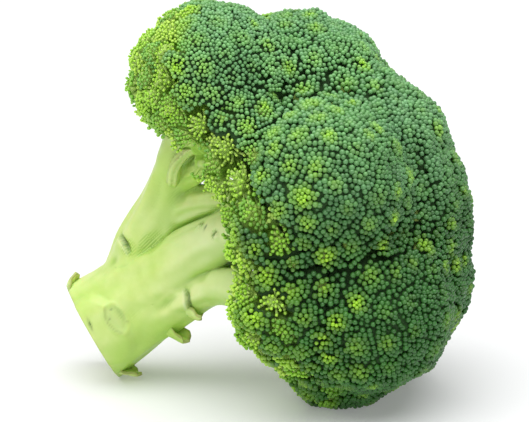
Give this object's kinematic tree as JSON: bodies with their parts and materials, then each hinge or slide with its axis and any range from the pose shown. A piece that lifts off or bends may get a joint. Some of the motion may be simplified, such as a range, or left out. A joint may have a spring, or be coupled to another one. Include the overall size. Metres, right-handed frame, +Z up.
{
  "type": "broccoli head",
  "caption": "Head of broccoli cut with a short stalk, resting on its cut end and the lower side of its crown.",
  "frame": {"origin": "bottom centre of the bounding box, on the surface the head rests on", "axes": "+Z up as it rests; the cut end of the stalk is at -X, and the crown faces +X, a little -Y and up"},
  "size_m": [0.156, 0.1312, 0.1501],
  "materials": {
    "stalk": "satin",
    "buds": "matte"
  },
  "bodies": {
    "root": {"stalk": "stalk", "floret_upper": "buds", "floret_upper_side": "buds", "floret_top": "buds", "floret_front": "buds", "floret_front_side": "buds", "floret_middle": "buds", "floret_outer": "buds", "floret_right": "buds", "floret_low_front": "buds", "floret_base_front": "buds", "floret_base": "buds", "floret_back_top": "buds", "floret_back": "buds", "floret_back_low": "buds"}
  },
  "joints": []
}
